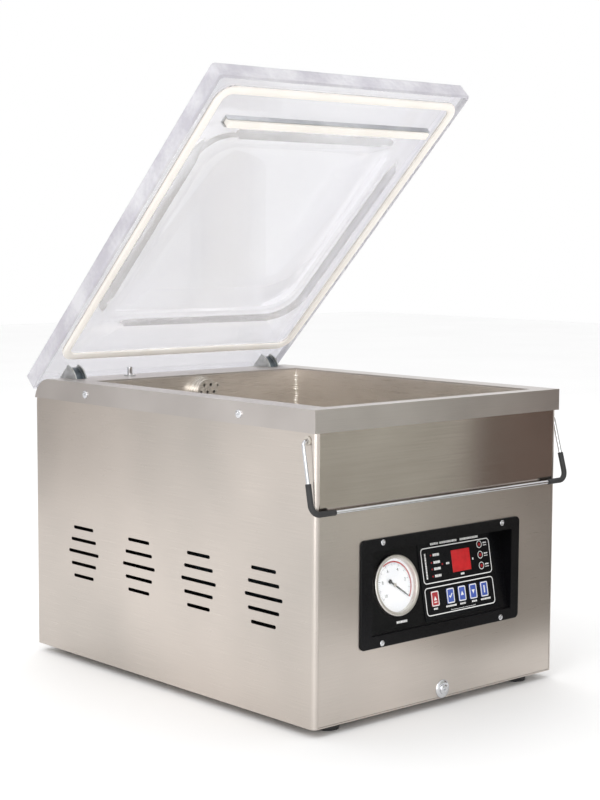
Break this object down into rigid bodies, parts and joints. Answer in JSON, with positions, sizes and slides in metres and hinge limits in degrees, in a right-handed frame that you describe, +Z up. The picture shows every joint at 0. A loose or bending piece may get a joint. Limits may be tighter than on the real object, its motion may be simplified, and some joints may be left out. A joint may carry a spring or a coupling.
{
  "type": "vacuum packing machine",
  "caption": "Table-top chamber vacuum packer: steel cabinet with a sloping control panel, open chamber with sealing bar, hinged clear domed lid and wire bail.",
  "frame": {"origin": "on the table, below the middle of the outer box with the lid open", "axes": "+Z up, -Y towards the control panel, +X to the operator's right"},
  "size_m": [0.3526, 0.4628, 0.6058],
  "materials": {
    "brushed_stainless": "brushed stainless sheet",
    "mirror_stainless": "smooth drawn stainless sheet",
    "clear_acrylic": "clear cast acrylic",
    "silicone_white": "matte white silicone",
    "black_plastic": "satin black moulded plastic",
    "black_rubber": "matte black rubber",
    "chrome": "polished chrome plate",
    "aluminium": "extruded aluminium",
    "zinc_steel": "zinc-plated steel",
    "ptfe_tape": "PTFE-coated glass cloth",
    "phenolic": "phenolic board",
    "nichrome": "rolled nichrome",
    "white_plastic": "white polyethylene",
    "gauge_white": "white printed dial",
    "needle_black": "black painted aluminium",
    "gauge_glass": "clear gauge window",
    "keypad_film": "printed polyester film",
    "display_red": "tinted red filter",
    "lamp_red": "red lens",
    "key_red": "red key",
    "key_blue": "blue key",
    "circuit_board": "green solder mask",
    "cast_iron": "painted casting",
    "motor_paint": "blue-grey enamel",
    "laminated_steel": "laminated core",
    "clear_hose": "reinforced hose",
    "brass": "turned brass"
  },
  "bodies": {
    "cabinet": {"feet": "black_rubber", "cabinet_shell": "brushed_stainless", "upper_front_panel": "brushed_stainless", "service_panel": "brushed_stainless", "service_panel_screw": "chrome", "deck": "mirror_stainless", "rim_screws": "chrome", "chamber_tub": "mirror_stainless", "suction_strainer": "zinc_steel", "vent_nozzle": "brass", "seal_lift_cylinders": "aluminium", "filler_plate": "white_plastic", "hinge_bases": "zinc_steel", "hinge_pins": "chrome", "lid_springs": "zinc_steel", "lid_pin_bush": "zinc_steel", "lid_microswitch": "black_plastic", "bail_bushes": "black_plastic", "control_bezel": "black_plastic", "bezel_screws": "chrome", "gauge_case": "zinc_steel", "gauge_dial": "gauge_white", "gauge_lens": "gauge_glass", "keypad_overlay": "keypad_film", "display_window": "display_red", "indicator_lamps": "lamp_red", "control_board": "circuit_board", "rear_panel": "brushed_stainless", "power_inlet": "black_plastic", "power_switch": "black_plastic", "motor_housing": "motor_paint", "motor_stator": "laminated_steel", "fan_cover": "motor_paint", "pump_head": "cast_iron", "vacuum_hose": "clear_hose", "exhaust_filter": "motor_paint", "transformer": "laminated_steel", "solenoid_valves": "brass"},
    "lid": {"lid_slab": "clear_acrylic", "lid_gasket": "silicone_white", "counter_bar_holder": "aluminium", "counter_bar_pad": "silicone_white", "hinge_brackets": "zinc_steel", "hinge_lid_screws": "chrome"},
    "seal_bar_body": {"seal_bar": "aluminium", "seal_backing_strip": "phenolic", "heating_element": "nichrome", "seal_tape": "ptfe_tape", "seal_lift_rods": "chrome"},
    "bail": {"bail_wire": "chrome", "bail_grips": "black_rubber"},
    "switch_pin": {"lid_switch_pin": "chrome"},
    "needle": {"gauge_needle": "needle_black"},
    "stop_key": {"key_stop": "key_red"},
    "set_key": {"key_set": "key_blue"},
    "up_key": {"key_up": "key_blue"},
    "down_key": {"key_down": "key_blue"},
    "manual_key": {"key_manual": "key_blue"},
    "rocker": {"power_rocker": "black_plastic"},
    "rotor": {"motor_rotor": "laminated_steel"}
  },
  "joints": [
    {"name": "lid_hinge", "type": "hinge", "parent": "cabinet", "child": "lid", "pos_m": [0, 0.19734, 0.288], "axis": [1, 0, 0], "range_deg": [0, 44.5], "stiffness_Nm_per_rad": 4.2, "springref_deg": -85.94},
    {"name": "seal_bar_lift", "type": "slide", "parent": "cabinet", "child": "seal_bar_body", "axis": [0, 0, 1], "range_m": [0, 0.012]},
    {"name": "bail_swing", "type": "hinge", "parent": "cabinet", "child": "bail", "pos_m": [0, -0.21316, 0.268], "axis": [-1, 0, 0], "range_deg": [0, 198]},
    {"name": "lid_switch_slide", "type": "slide", "parent": "cabinet", "child": "switch_pin", "axis": [0, 0, -1], "range_m": [0, 0.0075]},
    {"name": "needle_turn", "type": "hinge", "parent": "cabinet", "child": "needle", "pos_m": [-0.054, -0.21358, 0.12381], "axis": [0, -0.9836, 0.1805], "range_deg": [0, 270], "stiffness_Nm_per_rad": 0.00002},
    {"name": "rocker_tilt", "type": "hinge", "parent": "cabinet", "child": "rocker", "pos_m": [0.112, 0.21314, 0.112], "axis": [1, 0, 0], "range_deg": [0, 22]},
    {"name": "rotor_spin", "type": "hinge", "parent": "cabinet", "child": "rotor", "pos_m": [0, -0.02266, 0.092], "axis": [0, 1, 0], "continuous": true},
    {"name": "stop_key_press", "type": "slide", "parent": "cabinet", "child": "stop_key", "axis": [0, 0.9836, -0.1805], "range_m": [0, 0.0005], "stiffness_N_per_m": 400},
    {"name": "set_key_press", "type": "slide", "parent": "cabinet", "child": "set_key", "axis": [0, 0.9836, -0.1805], "range_m": [0, 0.0005], "stiffness_N_per_m": 400},
    {"name": "up_key_press", "type": "slide", "parent": "cabinet", "child": "up_key", "axis": [0, 0.9836, -0.1805], "range_m": [0, 0.0005], "stiffness_N_per_m": 400},
    {"name": "down_key_press", "type": "slide", "parent": "cabinet", "child": "down_key", "axis": [0, 0.9836, -0.1805], "range_m": [0, 0.0005], "stiffness_N_per_m": 400},
    {"name": "manual_key_press", "type": "slide", "parent": "cabinet", "child": "manual_key", "axis": [0, 0.9836, -0.1805], "range_m": [0, 0.0005], "stiffness_N_per_m": 400}
  ],
  "couplings": [
    {"joint": "lid_switch_slide", "follows": "lid_hinge", "m_per_rad": 0.009399}
  ]
}
